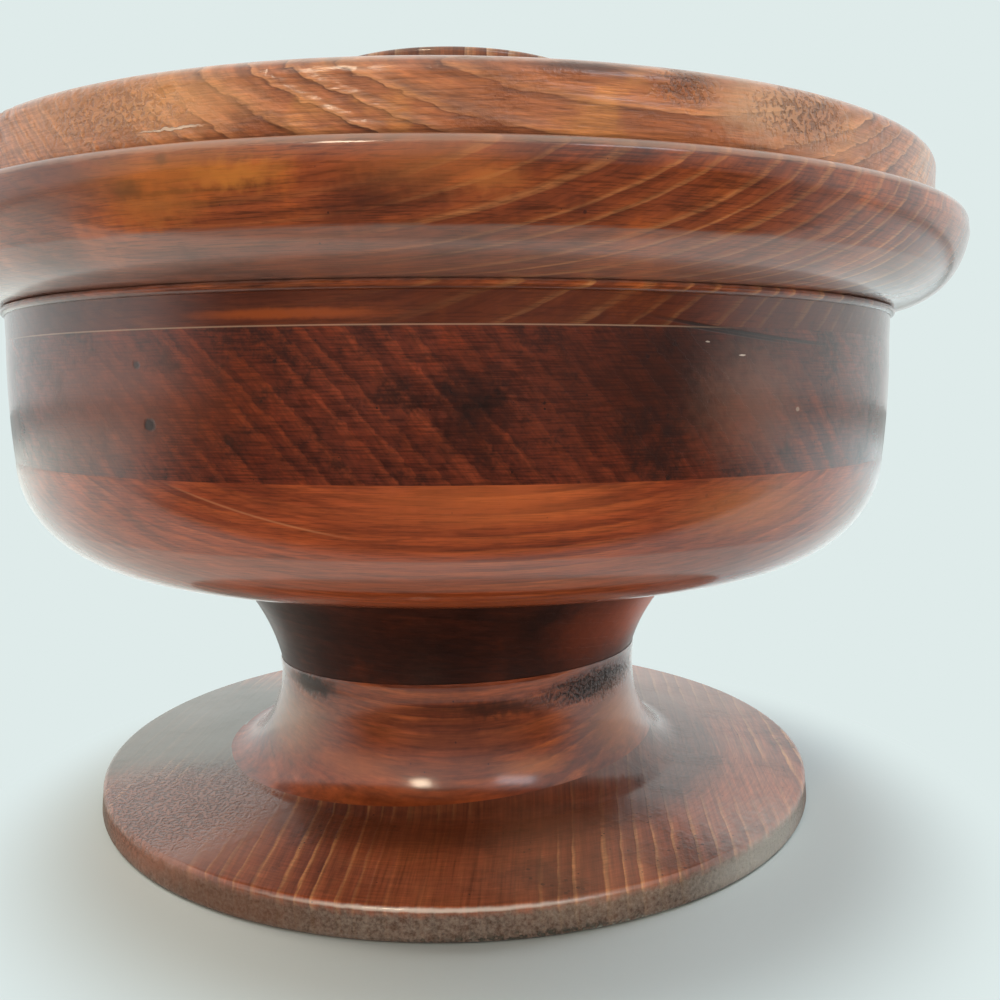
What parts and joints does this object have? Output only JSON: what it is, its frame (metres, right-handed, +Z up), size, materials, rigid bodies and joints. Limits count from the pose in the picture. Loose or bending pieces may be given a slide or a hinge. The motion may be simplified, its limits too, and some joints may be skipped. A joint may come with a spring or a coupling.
{
  "type": "lidded pedestal bowl",
  "caption": "Turned wooden bowl on a flared pedestal foot, laminated from crossed boards, with a heavy rounded rim and a flat lift-off lid with a wide knob.",
  "frame": {"origin": "middle of the underside of the foot", "axes": "+Z up along the turning axis; -Y is the side seen in the picture, +X to its right"},
  "size_m": [0.179, 0.179, 0.131],
  "materials": {
    "foot_board": "dark stained pine, gloss varnish, rubbed grey on the edge",
    "lower_stem_board": "red-brown stained pine, gloss varnish",
    "upper_stem_board": "very dark stained end grain, gloss varnish",
    "dowel": "bare beech",
    "base_board": "orange-brown stained pine, gloss varnish",
    "wall_board": "dark stained end grain, gloss varnish",
    "rim_board": "red-brown stained pine, gloss varnish",
    "lid_board": "orange-brown stained pine, gloss varnish",
    "knob": "orange-brown stained pine, gloss varnish",
    "screw": "plain brass, slightly tarnished"
  },
  "bodies": {
    "bowl": {"foot_disc": "foot_board", "stem_lower": "lower_stem_board", "stem_upper": "upper_stem_board", "stem_dowel": "dowel", "bowl_base": "base_board", "bowl_wall": "wall_board", "rim_ring": "rim_board"},
    "lid": {"lid_board": "lid_board", "lid_knob": "knob", "knob_screw": "screw"}
  },
  "joints": [
    {"name": "lid_lift", "type": "slide", "parent": "bowl", "child": "lid", "axis": [0, 0, 1], "range_m": [0, 0.1]}
  ]
}
